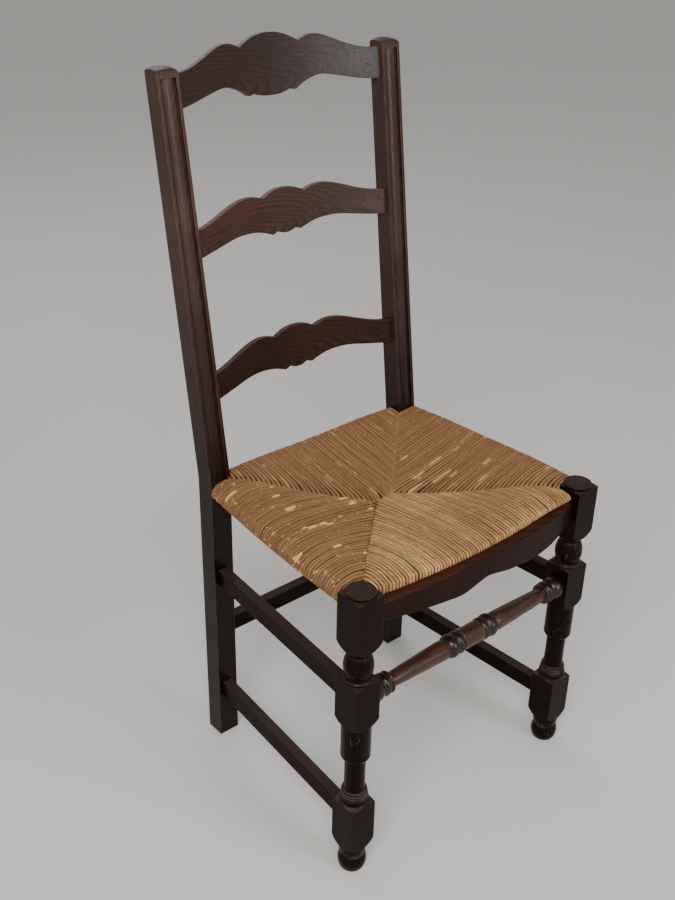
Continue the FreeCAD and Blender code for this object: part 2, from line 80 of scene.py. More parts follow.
def clamp(value):
    return min(1.0, max(0.0, value))


class ChairRushSettings(bpy.types.PropertyGroup):
    """Sizes and colours of the woven seat."""

    cord_spacing: bpy.props.FloatProperty(
        name="Cord spacing", description="Middle of one cord to the middle of the next",
        default=0.0051, unit="LENGTH")
    cord_radius: bpy.props.FloatProperty(
        name="Cord radius", description="Radius of a twisted rush cord", default=0.0026,
        unit="LENGTH")
    seat_middle: bpy.props.FloatProperty(
        name="Height of the middle", description="Top of the worn middle of the seat",
        default=0.4440, unit="LENGTH")
    dish_radius: bpy.props.FloatProperty(
        name="Dish radius", description="Radius of the hollow that use has worn",
        default=0.870, unit="LENGTH")
    seam_dip: bpy.props.FloatProperty(
        name="Seam dip", description="How far the cords dive where two panels meet",
        default=0.0085, unit="LENGTH")
    pillow: bpy.props.FloatProperty(
        name="Pillow", description="Rise of each panel between seam and rail, from its packing",
        default=0.0016, unit="LENGTH")
    straw: bpy.props.FloatVectorProperty(
        name="Straw", description="The cleanest cords", default=colour("#D8B078"), subtype="COLOR")
    tan: bpy.props.FloatVectorProperty(
        name="Tan", description="The brownest cords", default=colour("#9A6E44"), subtype="COLOR")
    brown: bpy.props.FloatVectorProperty(
        name="Brown", description="Dark fibres in the twist", default=colour("#56361F"),
        subtype="COLOR")
    # Rubbed and dirty rush, laid also over the back and side panels as painted shade
    worn_and_shaded: bpy.props.FloatVectorProperty(
        name="Worn", description="Where the seat is rubbed and dirty", default=colour("#68432A"),
        subtype="COLOR")
    # Painted shade in the grooves between cords
    gap: bpy.props.FloatVectorProperty(
        name="Gap", description="Dirt in the grooves between cords", default=colour("#422916"),
        subtype="COLOR")
    fibre: bpy.props.FloatVectorProperty(
        name="Fibre", description="Pale inside of frayed rush", default=colour("#D6AC6C"),
        subtype="COLOR")


class ChairOakSettings(bpy.types.PropertyGroup):
    """Stain colours and grain sizes of the frame."""

    dark_stain: bpy.props.FloatVectorProperty(
        name="Dark stain", description="Posts, front legs and plain stretchers",
        default=colour("#120705"), subtype="COLOR")
    dark_grain: bpy.props.FloatVectorProperty(
        name="Dark grain", description="Pores and late wood of the dark pieces",
        default=colour("#050302"), subtype="COLOR")
    dark_rubbed: bpy.props.FloatVectorProperty(
        name="Dark rubbed", description="Rubbed arrises of the dark pieces",
        default=colour("#53301F"), subtype="COLOR")
    red_stain: bpy.props.FloatVectorProperty(
        name="Red stain", description="Slats, turned stretcher and the apron's top edge",
        default=colour("#3B2217"), subtype="COLOR")
    red_grain: bpy.props.FloatVectorProperty(
        name="Red grain", description="Pores and late wood of the red pieces",
        default=colour("#190C08"), subtype="COLOR")
    red_rubbed: bpy.props.FloatVectorProperty(
        name="Red rubbed", description="Rubbed arrises of the red pieces and the posts",
        default=colour("#7A5036"), subtype="COLOR")
    wax: bpy.props.FloatVectorProperty(
        name="Old wax", description="Pale wax and dust in the turned grooves and scratches",
        default=colour("#6E6556"), subtype="COLOR")
    # Dust and a painted sheen on the faces that look up
    dust: bpy.props.FloatVectorProperty(
        name="Dust", description="Thin dust that greys the faces that look up",
        default=colour("#5C4C47"), subtype="COLOR")
    # Worn stain on the upper posts, made lighter as painted sheen too
    post_stain_and_sheen: bpy.props.FloatVectorProperty(
        name="Post stain", description="Upper part of the posts, where hands have worn the stain",
        default=colour("#3B2B28"), subtype="COLOR")
    apron_stain: bpy.props.FloatVectorProperty(
        name="Apron stain", description="The apron, a little lighter, so its slanting grain shows",
        default=colour("#22120C"), subtype="COLOR")
    rail_wood: bpy.props.FloatVectorProperty(
        name="Rail wood", description="Rails inside the seat", default=colour("#4A3220"),
        subtype="COLOR")
    ring_width: bpy.props.FloatProperty(
        name="Ring width", description="Width of one year's growth in the oak",
        default=0.0032, unit="LENGTH")
    pore_width: bpy.props.FloatProperty(
        name="Pore width", description="Width of the open pores, drawn coarse enough to show",
        default=0.0008, unit="LENGTH")
    pore_length: bpy.props.FloatProperty(
        name="Pore length", description="Length of the open pores along the grain",
        default=0.022, unit="LENGTH")


class ChairStageSettings(bpy.types.PropertyGroup):
    """Floor and light."""

    floor: bpy.props.FloatVectorProperty(
        name="Floor", description="Plain pale floor", default=colour("#C9C9C7"), subtype="COLOR")
    key_power: bpy.props.FloatProperty(
        name="Key light", description="Power of the large soft light", default=80.0,
        unit="POWER")
    fill_power: bpy.props.FloatProperty(
        name="Fill light", description="Power of the opposite soft light", default=32.0,
        unit="POWER")
    sky: bpy.props.FloatProperty(
        name="Room light", description="Strength of the even light all round", default=0.55)


def add_node(tree, kind, inputs=None, out=0, **settings):
    """Adds one node and gives its output, or the node itself where out is None. An input is a
    plain value, or another node's output to link from. Sockets that share a name go by number: a
    colour mix has its share at 0, its colours at 6 and 7, and its result at 2."""
    node = tree.nodes.new("ShaderNode" + kind)
    for name, value in settings.items():
        setattr(node, name, value)
    for key, value in (inputs or {}).items():
        if isinstance(value, bpy.types.NodeSocket):
            tree.links.new(value, node.inputs[key])
        else:
            node.inputs[key].default_value = value
    return node if out is None else node.outputs[out]


def new_material(name):
    material = bpy.data.materials.new(name)
    material.use_nodes = True
    material.node_tree.nodes.clear()
    return material, material.node_tree


def spans(tree, place, reach, lines, fade):
    """1 inside each (low, high) span of a distance from the middle, in metres, and 0 elsewhere.
    No distance is longer than reach."""
    distance = add_node(tree, "Math", {0: place}, operation="ABSOLUTE")
    share = add_node(tree, "Math", {0: distance, 1: 1 / reach}, operation="MULTIPLY")
    ramp = add_node(tree, "ValToRGB", {0: share}, out=None)
    stops = ramp.color_ramp.elements
    stops[0].position, stops[0].color = 0.0, (0, 0, 0, 1)
    stops.remove(stops[1])
    for low, high in lines:
        for where, level in ((low - fade, 0), (low, 1), (high, 1), (high + fade, 0)):
            stops.new(clamp(where / reach)).color = (level, level, level, 1)
    return ramp.outputs[0]


# Marks of the oak, as how many come to a metre
STAIN_CLOUDS = 9.0  # 110 mm across, where the wood took more or less stain
RING_BENDS = 28.0  # bends of the growth rings, 36 mm long
RUBBED_PATCHES = 60.0  # 17 mm lengths of rubbed edge, wax and scuff
SCRATCHES = 700.0  # drawn 1.4 mm apart, coarser than they are, so that they show
# How much fewer they are along the grain than across it
RING_STRETCH = 0.035
LOOP_STRETCH = 0.20
SCRATCH_STRETCH = 0.12
# Lengths in metres
PITH_AWAY = 0.035  # from the middle of a quartered piece to the heart of its tree
WAVE_PERIOD = 0.314  # from ring to ring of the wave texture at a scale of 1
ARRIS = 0.0016  # rounding of the worn arrises
CREVICE = 0.006  # how far from a corner the painted shade still reaches
GRAIN_RELIEF = 0.00012  # height of the grain
TURNED_REACH = 0.5  # all the turned marks are nearer than this to floor or middle


def oak(name, grain_axis, tones, settings, heart=None, wax_lines=(), second=None, scuffed=(),
        rub=0.5, grain_depth=0.5, top_dust_and_sheen=0.14, gloss=0.05, pore_depth=0.6, bumpy=0.5,
        shine=0.30, ring_width=None, wavy=0.012):
    """Oak, sawn, stained and waxed. The eye gets long open pores, growth rings, a low sheen that
    breaks up along the grain, arrises rubbed back to lighter wood, dust and a painted sheen on
    the faces that look up, painted shade in corners, and pale wax left in turned grooves. tones
    are the stain, the grain and the rubbed wood. heart is the middle of the figure on a flat-sawn
    board, and second a (mask, stain) of another tone. rub, grain_depth, the share of dust and
    painted sheen on top, pore_depth and bumpy say how strong each mark is."""
    stain, grain, rubbed = tones
    deep_grain = shade(grain, 0.6)
    material, tree = new_material(name)
    axis = "XYZ".index(grain_axis)
    place = add_node(tree, "TexCoord", out="Object")
    # Each piece has its own marks, as if cut from another board
    chance = add_node(tree, "ObjectInfo", out="Random")
    offset = add_node(tree, "VectorMath", {0: (3.1, 5.3, 7.7), "Scale": chance}, operation="SCALE")
    board = add_node(tree, "VectorMath", {0: place, 1: offset}, operation="ADD")
    axes = add_node(tree, "SeparateXYZ", {0: place}, out=None).outputs

    stretch = [1.0, 1.0, 1.0]
    stretch[axis] = settings.pore_width / settings.pore_length
    pore_place = add_node(tree, "Mapping", {"Vector": board, "Scale": stretch})
    pores = add_node(tree, "TexNoise", {
        "Vector": pore_place, "Scale": 1 / settings.pore_width, "Detail": 2.0, "Roughness": 0.6})
    pore_mask = add_node(tree, "MapRange", {"Value": pores, "From Min": 0.58, "From Max": 0.68})

    centre = pith = (0.0, 0.0, 0.0)
    if heart:
        # A flat-sawn board shows long loops round its heart
        stretch[axis] = LOOP_STRETCH
        centre = [-heart[i] * stretch[i] for i in range(3)]
        rings_axis = "Y"
    else:
        stretch[axis] = RING_STRETCH
        pith = [0.0 if i == axis else PITH_AWAY for i in range(3)]
        rings_axis = grain_axis
    figure = add_node(tree, "Mapping", {"Vector": place, "Scale": stretch, "Location": centre})
    from_pith = add_node(tree, "VectorMath", {0: figure, 1: pith}, operation="ADD")
    warp = add_node(tree, "TexNoise", {
        "Vector": figure, "Scale": RING_BENDS, "Detail": 2.0}, out="Color")
    bent = add_node(tree, "VectorMath", {
        0: warp, 1: (wavy, wavy, wavy), 2: from_pith}, operation="MULTIPLY_ADD")
    rings = add_node(tree, "TexWave", {
        "Vector": bent, "Scale": WAVE_PERIOD / (ring_width or settings.ring_width),
        "Distortion": 1.2, "Detail": 2.0, "Detail Scale": 1.5},
        wave_type="RINGS", rings_direction=rings_axis, wave_profile="SAW", out="Fac")
    cloud = add_node(tree, "TexNoise", {"Vector": board, "Scale": STAIN_CLOUDS, "Detail": 3.0})

    # The stain, lighter in clouds
    base = rgba(stain)
    if second:
        mask = second[0](tree, axes)
        base = add_node(tree, "Mix", {
            0: mask, 6: base, 7: rgba(second[1])}, data_type="RGBA", out=2)
    lighter = add_node(tree, "Mix", {
        0: 1.0, 6: base, 7: (1.7, 1.6, 1.5, 1.0)}, data_type="RGBA", blend_type="MULTIPLY", out=2)
    patch = add_node(tree, "MapRange", {
        "Value": cloud, "From Min": 0.40, "From Max": 0.68, "To Max": 0.7})
    base = add_node(tree, "Mix", {0: patch, 6: base, 7: lighter}, data_type="RGBA", out=2)
    late = add_node(tree, "MapRange", {
        "Value": rings, "From Min": 0.35, "From Max": 1.0, "To Max": grain_depth})
    if heart and second:
        # The figure shows less where the apron is rubbed back to red
        fade = add_node(tree, "Math", {0: mask, 1: -0.7, 2: 1.0}, operation="MULTIPLY_ADD")
        late = add_node(tree, "Math", {0: late, 1: fade}, operation="MULTIPLY")
    pore_share = add_node(tree, "Math", {0: pore_mask, 1: pore_depth}, operation="MULTIPLY")
    # What lies over the stain, from the wood outwards, as (where, tone)
    coats = [(late, grain), (pore_share, deep_grain)]

    patches = add_node(tree, "TexNoise", {"Vector": board, "Scale": RUBBED_PATCHES, "Detail": 3.0})
    if scuffed:
        # Fine pale scratches along the grain, where feet and brooms have knocked the legs
        stretch[axis] = SCRATCH_STRETCH
        scratch_place = add_node(tree, "Mapping", {"Vector": board, "Scale": stretch})
        scratches = add_node(tree, "TexNoise", {
            "Vector": scratch_place, "Scale": SCRATCHES, "Detail": 2.0})
        thin = add_node(tree, "MapRange", {
            "Value": scratches, "From Min": 0.60, "From Max": 0.68, "To Max": 0.5})
        knocked = add_node(tree, "MapRange", {"Value": patches, "From Min": 0.52, "From Max": 0.66})
        turned = spans(tree, axes[axis], TURNED_REACH, scuffed, 0.004)
        knocked = add_node(tree, "Math", {0: knocked, 1: turned}, operation="MULTIPLY")
        scuff = add_node(tree, "Math", {0: thin, 1: knocked}, operation="MULTIPLY")
        coats.append((scuff, settings.wax))

    rounded = add_node(tree, "Bevel", {"Radius": ARRIS}, samples=6)
    flat = add_node(tree, "NewGeometry", out="Normal")
    same = add_node(tree, "VectorMath", {0: rounded, 1: flat}, operation="DOT_PRODUCT", out="Value")
    arris = add_node(tree, "MapRange", {"Value": same, "From Min": 0.99, "From Max": 0.92})
    rubbing = add_node(tree, "MapRange", {
        "Value": patches, "From Min": 0.42, "From Max": 0.62, "To Min": rub / 3, "To Max": rub})
    edges = add_node(tree, "Math", {0: arris, 1: rubbing}, operation="MULTIPLY")
    # Faces that look up are greyed by dust and by a painted sheen
    up = add_node(tree, "SeparateXYZ", {0: flat}, out=2)
    top = add_node(tree, "MapRange", {
        "Value": up, "From Min": 0.3, "From Max": 0.8, "To Max": top_dust_and_sheen})
    coats += [(edges, rubbed), (top, settings.dust)]
    if wax_lines:
        lines = spans(tree, axes[axis], TURNED_REACH, wax_lines, 0.0003)
        broken = add_node(tree, "MapRange", {
            "Value": patches, "From Min": 0.42, "From Max": 0.62, "To Min": 0.05, "To Max": 0.45})
        waxed = add_node(tree, "Math", {0: lines, 1: broken}, operation="MULTIPLY")
        coats.append((waxed, settings.wax))
    # Painted shade in corners and crevices, from ambient occlusion, in the darkest grain colour
    open_air = add_node(tree, "AmbientOcclusion", {"Distance": CREVICE}, samples=6,
                        only_local=True, out="AO")
    crevice_shade = add_node(tree, "MapRange", {
        "Value": open_air, "From Min": 0.85, "From Max": 0.45, "To Max": 0.85})
    coats.append((crevice_shade, deep_grain))
    for where, tone in coats:
        base = add_node(tree, "Mix", {0: where, 6: base, 7: rgba(tone)}, data_type="RGBA", out=2)

    sheen = add_node(tree, "MapRange", {
        "Value": cloud, "From Min": 0.3, "From Max": 0.7, "To Min": shine, "To Max": shine + 0.14})
    rough = add_node(tree, "Math", {0: pore_mask, 1: 0.22, 2: sheen}, operation="MULTIPLY_ADD")
    relief = add_node(tree, "Math", {0: pore_share, 1: -1.6, 2: rings}, operation="MULTIPLY_ADD")
    bump = add_node(tree, "Bump", {
        "Height": relief, "Distance": GRAIN_RELIEF, "Strength": bumpy, "Normal": rounded})
    shader = add_node(tree, "BsdfPrincipled", {
        "Base Color": base, "Roughness": rough, "Normal": bump, "IOR": 1.5,
        "Specular IOR Level": gloss})
    add_node(tree, "OutputMaterial", {"Surface": shader}, out=None)
    return material


TWIST = 0.022  # length of one turn of the cord, in metres
FIBRE_RELIEF = 0.0006
STRAND_APART = 91.7  # gives each cord its own marks
# How many marks come round the twist, from cord to cord, and to a metre along it
FIBRES = (30.0, 1.0, 25.0)  # drawn 0.5 mm wide, so that they show, and 40 mm long
# The same from cord to cord, to a metre along one, and round it
FRAYED = (1.0, 24.0, 0.12)  # 10 to 25 mm of each 42 mm
SPECKS = (1.0, 170.0, 3.0)  # 6 mm apart
RUNS = (1.0, 12.0, 0.4)  # 80 mm from brown to straw and back
# Marks of the whole seat, as how many come to a metre
FRAYED_GROUPS = 13.0  # 80 mm across
WORN_FIELDS = 7.0  # 140 mm across
PACKED_STALKS = 260.0  # 4 mm wide
FLOOR_MOTTLE = 2.0  # 500 mm across


def rush(name, settings):
    """Freshwater rush, twisted by hand into cord. The eye gets slanting fibres, cords that differ
    in colour, painted shade in the grooves between them, pale frayed lengths, a brown bloom where
    the seat is rubbed, and painted shade over the back and side panels. The mesh carries each
    cord's own number, strand, and how near the rim, how frayed and how shaded its panel is."""
    material, tree = new_material(name)
    coordinates = add_node(tree, "TexCoord", out=None).outputs
    place = coordinates["Object"]
    strand, frayed, rim, dusty = (
        add_node(tree, "Attribute", attribute_name=mark, out="Fac")
        for mark in ("strand", "frayed", "rim", "dusty"))
    lay = add_node(tree, "SeparateXYZ", {0: coordinates["UV"]}, out=None).outputs
    around, along = lay[0], lay[1]
    own = add_node(tree, "Math", {0: strand, 1: STRAND_APART}, operation="MULTIPLY")
    turn = add_node(tree, "Math", {
        0: along, 1: 1 / TWIST, 2: around}, operation="MULTIPLY_ADD")
    slant = add_node(tree, "CombineXYZ", {0: turn, 1: own, 2: along})
    fibre_place = add_node(tree, "Mapping", {"Vector": slant, "Scale": FIBRES})
    fibres = add_node(tree, "TexNoise", {"Vector": fibre_place, "Scale": 1.0, "Detail": 2.0})

    # Frayed lengths lie in groups, with specks between them
    cord_place = add_node(tree, "CombineXYZ", {0: own, 1: along, 2: around})
    fray_place = add_node(tree, "Mapping", {"Vector": cord_place, "Scale": FRAYED})
    fray_noise = add_node(tree, "TexNoise", {"Vector": fray_place, "Scale": 1.0, "Detail": 1.0})
    groups = add_node(tree, "TexNoise", {"Vector": place, "Scale": FRAYED_GROUPS, "Detail": 2.0})
    limit = add_node(tree, "MapRange", {
        "Value": groups, "From Min": 0.45, "From Max": 0.65, "To Min": 0.71, "To Max": 0.615})
    over = add_node(tree, "Math", {0: fray_noise, 1: limit}, operation="SUBTRACT")
    over = add_node(tree, "Math", {0: frayed, 1: 0.022, 2: over}, operation="MULTIPLY_ADD")
    over = add_node(tree, "Math", {0: rim, 1: 0.02, 2: over}, operation="MULTIPLY_ADD")
    fray = add_node(tree, "MapRange", {"Value": over, "From Min": 0.0, "From Max": 0.03})
    speck_place = add_node(tree, "Mapping", {"Vector": cord_place, "Scale": SPECKS})
    speck_noise = add_node(tree, "TexNoise", {"Vector": speck_place, "Scale": 1.0, "Detail": 1.0})
    speck_level = add_node(tree, "Math", {
        0: rim, 1: 0.06, 2: speck_noise}, operation="MULTIPLY_ADD")
    specks = add_node(tree, "MapRange", {
        "Value": speck_level, "From Min": 0.69, "From Max": 0.74, "To Max": 0.8})
    fray = add_node(tree, "Math", {0: fray, 1: specks}, operation="MAXIMUM")
    fray = add_node(tree, "Math", {0: fray, 1: frayed}, operation="MULTIPLY")

    # Along one cord the rush runs from brown to straw and back, most of all over the rails
    tone = add_node(tree, "MapRange", {"Value": strand, "To Min": 0.0, "To Max": 0.5})
    run_place = add_node(tree, "Mapping", {"Vector": cord_place, "Scale": RUNS})
    run = add_node(tree, "TexNoise", {"Vector": run_place, "Scale": 1.0, "Detail": 2.0})
    swing = add_node(tree, "Math", {0: rim, 1: 1.2, 2: 0.8}, operation="MULTIPLY_ADD")
    run = add_node(tree, "Math", {0: run, 1: 0.5}, operation="SUBTRACT")
    tone = add_node(tree, "Math", {0: run, 1: swing, 2: tone}, operation="MULTIPLY_ADD")
    # Painted shade: the back and side panels are darker and browner than the front
    bright = add_node(tree, "Math", {0: dusty, 1: -0.34, 2: 0.30}, operation="MULTIPLY_ADD")
    tone = add_node(tree, "Math", {0: tone, 1: bright}, operation="ADD", use_clamp=True)
    dark_fibres = add_node(tree, "MapRange", {
        "Value": fibres, "From Min": 0.40, "From Max": 0.62, "To Max": 0.62})
    wide = add_node(tree, "TexNoise", {"Vector": place, "Scale": WORN_FIELDS, "Detail": 2.0})
    rubbed = add_node(tree, "MapRange", {
        "Value": wide, "From Min": 0.44, "From Max": 0.62, "To Max": 0.35})
    # The brown bloom is laid over the back and side panels too, as painted shade
    rubbed = add_node(tree, "Math", {0: rubbed, 1: dusty}, operation="MAXIMUM")
    handled = add_node(tree, "Math", {0: rim, 1: 0.12, 2: 1.0}, operation="MULTIPLY_ADD")
    rubbed = add_node(tree, "Math", {0: rubbed, 1: handled}, operation="MULTIPLY")

    # Painted shade lies in the grooves between the cords: up is 1 along the top of each and 0 half
    # way down. It is weaker on the panels painted darker all over, but not over the rails
    turn_angle = add_node(tree, "Math", {0: around, 1: 2 * math.pi}, operation="MULTIPLY")
    up = add_node(tree, "Math", {0: turn_angle}, operation="SINE")
    depth = add_node(tree, "Math", {0: dusty, 1: -0.26, 2: 0.80}, operation="MULTIPLY_ADD")
    depth = add_node(tree, "Math", {0: rim, 1: 0.22, 2: depth}, operation="MULTIPLY_ADD")
    groove_shade_share = add_node(tree, "MapRange", {
        "Value": up, "From Min": 0.94, "From Max": 0.35, "To Max": depth})
    base = rgba(settings.tan)
    for where, layer in ((tone, settings.straw), (dark_fibres, settings.brown),
                         (rubbed, settings.worn_and_shaded), (groove_shade_share, settings.gap), (fray, settings.fibre)):
        base = add_node(tree, "Mix", {0: where, 6: base, 7: rgba(layer)}, data_type="RGBA", out=2)
    bump = add_node(tree, "Bump", {"Height": fibres, "Distance": FIBRE_RELIEF, "Strength": 0.8})
    shader = add_node(tree, "BsdfPrincipled", {
        "Base Color": base, "Roughness": 0.62, "Normal": bump, "IOR": 1.45,
        "Specular IOR Level": 0.3})
    add_node(tree, "OutputMaterial", {"Surface": shader}, out=None)
    return material


def shaded_packing(name):
    """Loose rush, stuffed in by hand. The eye gets it near black, as painted shade between cords.
    """
    material, tree = new_material(name)
    place = add_node(tree, "TexCoord", out="Object")
    blotch = add_node(tree, "TexNoise", {"Vector": place, "Scale": PACKED_STALKS, "Detail": 2.0})
    # Near black, as painted shade in the gaps between cords
    base = add_node(tree, "Mix", {
        0: blotch, 6: rgba(colour("#120A05")), 7: rgba(colour("#2A180C"))}, data_type="RGBA", out=2)
    shader = add_node(tree, "BsdfPrincipled", {
        "Base Color": base, "Roughness": 0.9, "Specular IOR Level": 0.1})
    add_node(tree, "OutputMaterial", {"Surface": shader}, out=None)
    return material


def floor_paint(name, tone):
    """Matt floor paint, rolled. The eye gets one pale tone with a little mottle."""
    material, tree = new_material(name)
    place = add_node(tree, "TexCoord", out="Object")
    mottle = add_node(tree, "TexNoise", {"Vector": place, "Scale": FLOOR_MOTTLE, "Detail": 4.0})
    base = add_node(tree, "Mix", {
        0: mottle, 6: rgba(tone), 7: rgba(shade(tone, 0.95))}, data_type="RGBA", out=2)
    shader = add_node(tree, "BsdfPrincipled", {"Base Color": base, "Roughness": 0.75})
    add_node(tree, "OutputMaterial", {"Surface": shader}, out=None)
    return material


# The woven seat in plan, in metres. The seams between its four panels run from the legs and posts
# to the two ends of a short seam in the middle.
MEET_LEFT = (-0.018, -0.038)
MEET_RIGHT = (0.015, -0.036)
SEAM_FRONT = (LEG_FACE_X - 0.002, LEG_BACK_Y + 0.0025)
SEAM_BACK = (POST_FACE_X - 0.001, POST_FRONT_Y - 0.0025)
SIDE_TAPER = -0.0697
SIDE_SWELL = {"left": 0.0035, "right": 0.0050}
RIGHT_SIDE_OUT = 0.0015
LEFT_SIDE_IN = 0.0010
LEFT_SIDE_IN_OVER = 0.10  # length in which the left side is drawn in
FRONT_BOW = 0.014
BACK_OUT = 0.0015
BACK_ROUND = 0.0045  # how far the back falls away at the posts
# Its heights
DISH_Y = -0.0505  # the lowest place, from back to front
RIM_TOP = 0.4655
RIM_RISE = 0.001  # of the right side
RIM_SWELL = 0.003
RIM_SOFTNESS = 0.0025  # of the change from dish to rim
EDGE_SLOPE = 0.055  # width over which a panel slopes to its outer edge
LEFT_POST_DROP = 0.0035
LEFT_POST_DROP_OVER = 0.06
FRONT_RIGHT_DROP = 0.003
BACK_POST_DROP = 0.0026
BACK_MIDDLE_RISE = 0.0012
SEAM_SINK = {"over": 0.0004, "under": 0.0022}
SAG = 0.0055  # of the underside
SAG_SPREAD = 0.03  # in square metres
UNDER_PILLOW = 0.0010
# Its cords, and their turns into the seams and round the rails
STEP = 0.005
LOW_STEP = STEP * 1.6
SEAM_TURN = 0.0040
SEAM_ANGLES = (0, 22, 45, 68)
EDGE_ANGLES = (70, 50, 30, 10)
CORD_END_IN = 0.0004
TURN_IN_FADE = 0.016
SHORT_CORD = 0.03  # shorter ones turn in less
END_CLEARANCE = 0.0004  # from the legs and posts
RIM_WIDTH = 0.03
APRON_LAP = 0.011
APRON_LAP_OVER = 0.003
LIFT = 0.0042  # of cord over cord, times how uneven they are
ASIDE = 0.00014
# Waves of each cord as (size, length): how far it wanders, and by what share it is thicker
WANDERS = ((0.0002, 0.031), (0.00015, 0.013))
LUMPS = ((0.06, 0.0085), (0.04, 0.0037))

# over: how far a panel's cords lap over the seam. drop: how much lower its outer edge is. skew and
# bulge: how far the cords run off square, as shares of their length. turn_in: how far their ends
# turn across the seam. uneven: how much one cord differs in thickness from the next.
# The back and side panels take painted shade all over, darker and browner than the front
PANELS = {
    "front": {"out": (0, -1), "along": (1, 0), "ends": (-LEG_FACE_X, LEG_FACE_X), "seed": 11,
              "radius": 0.0060, "over": -0.0006, "drop": 0.0066, "skew": 0.0, "bulge": 0.04,
              "turn_in": (0.0, 0.0), "frayed": 0.2, "dusty": 0.0, "uneven": 0.045},
    "back": {"out": (0, 1), "along": (1, 0), "ends": (-POST_FACE_X, POST_FACE_X), "seed": 12,
             "radius": 0.011, "over": 0.0010, "drop": 0.0, "skew": -0.02, "bulge": 0.0,
             "turn_in": (0.0065, 0.0030), "frayed": 0.25, "dusty": 0.58, "uneven": 0.045},
    "left": {"out": (-1, 0), "along": (0, 1), "ends": (LEG_BACK_Y, POST_FRONT_Y), "seed": 13,
             "radius": 0.0130, "over": -0.0006, "drop": 0.0045, "skew": 0.05, "bulge": 0.05,
             "turn_in": (0.0, 0.0), "frayed": 0.9, "dusty": 0.58, "uneven": 0.08},
    "right": {"out": (1, 0), "along": (0, 1), "ends": (LEG_BACK_Y, POST_FRONT_Y), "seed": 14,
              "radius": 0.0115, "over": 0.0010, "drop": 0.0, "skew": -0.09, "bulge": 0.0,
              "turn_in": (0.0035, 0.0), "frayed": 0.5, "dusty": 0.56, "uneven": 0.045},
}


def swell_along(y):
    """1 half way along the seat's sides and 0 at their ends, where leg and post hold the rush."""
    middle, half = (LEG_BACK_Y + POST_FRONT_Y) / 2, (POST_FRONT_Y - LEG_BACK_Y) / 2
    return max(0.0, 1 - ((y - middle) / half) ** 2)


def seat_side_x(y, panel):
    """How far out the seat's side is: the left one is drawn in towards its post."""
    plain = seat_high.x + SIDE_TAPER * (y - LEG_BACK_Y)
    swell = SIDE_SWELL[panel] * swell_along(y)
    if panel == "right":
        return plain + RIGHT_SIDE_OUT + swell
    return plain + swell - LEFT_SIDE_IN * clamp(y / LEFT_SIDE_IN_OVER)


def panel_edge(panel, across):
    """How far from the middle of the seat a panel's outer edge is."""
    if panel == "front":
        return -(seat_low.y + FRONT_BOW * (across / LEG_FACE_X) ** 2)
    if panel == "back":
        return seat_high.y + BACK_OUT - BACK_ROUND * (across / POST_FACE_X) ** 2
    return seat_side_x(across, panel)


def edge_drop(panel, across):
    """How much lower than the rim a panel's outer edge is."""
    drop = PANELS[panel]["drop"]
    if panel == "left":
        near_post = clamp((across - POST_FRONT_Y + LEFT_POST_DROP_OVER) / LEFT_POST_DROP_OVER)
        drop += LEFT_POST_DROP * near_post ** 2
    if panel == "front":
        drop += FRONT_RIGHT_DROP * max(0.0, across / LEG_FACE_X) ** 3
    if panel == "back":
        near_posts = (across / POST_FACE_X) ** 2
        drop = BACK_POST_DROP * near_posts ** 2 - BACK_MIDDLE_RISE * (1 - near_posts)
    return drop


def seat_top(x, y, settings):
    """Height of the seat's surface, dished in the middle and level near the rails."""
    dish = settings.seat_middle + (x * x + (y - DISH_Y) ** 2) / (2 * settings.dish_radius)
    rise = RIM_RISE + RIM_SWELL * swell_along(y)
    rim = RIM_TOP + rise * max(0.0, x / seat_high.x) ** 2
    return -RIM_SOFTNESS * math.log(math.exp(-(dish - rim) / RIM_SOFTNESS) + 1.0) + rim


def seam_out(panel, across):
    """How far from the middle of the seat a panel's seam is, at a place across the panel."""
    left, right = MEET_LEFT, MEET_RIGHT
    if panel in ("front", "back"):
        corner_x, corner_y = SEAM_FRONT if panel == "front" else SEAM_BACK
        y = np.interp(across, [-corner_x, left[0], right[0], corner_x],
                      [corner_y, left[1], right[1], corner_y])
        return -y if panel == "front" else y
    side = -1 if panel == "left" else 1
    meet = left if panel == "left" else right
    x = np.interp(across, [SEAM_FRONT[1], meet[1], SEAM_BACK[1]],
                  [side * SEAM_FRONT[0], meet[0], side * SEAM_BACK[0]])
    return side * x


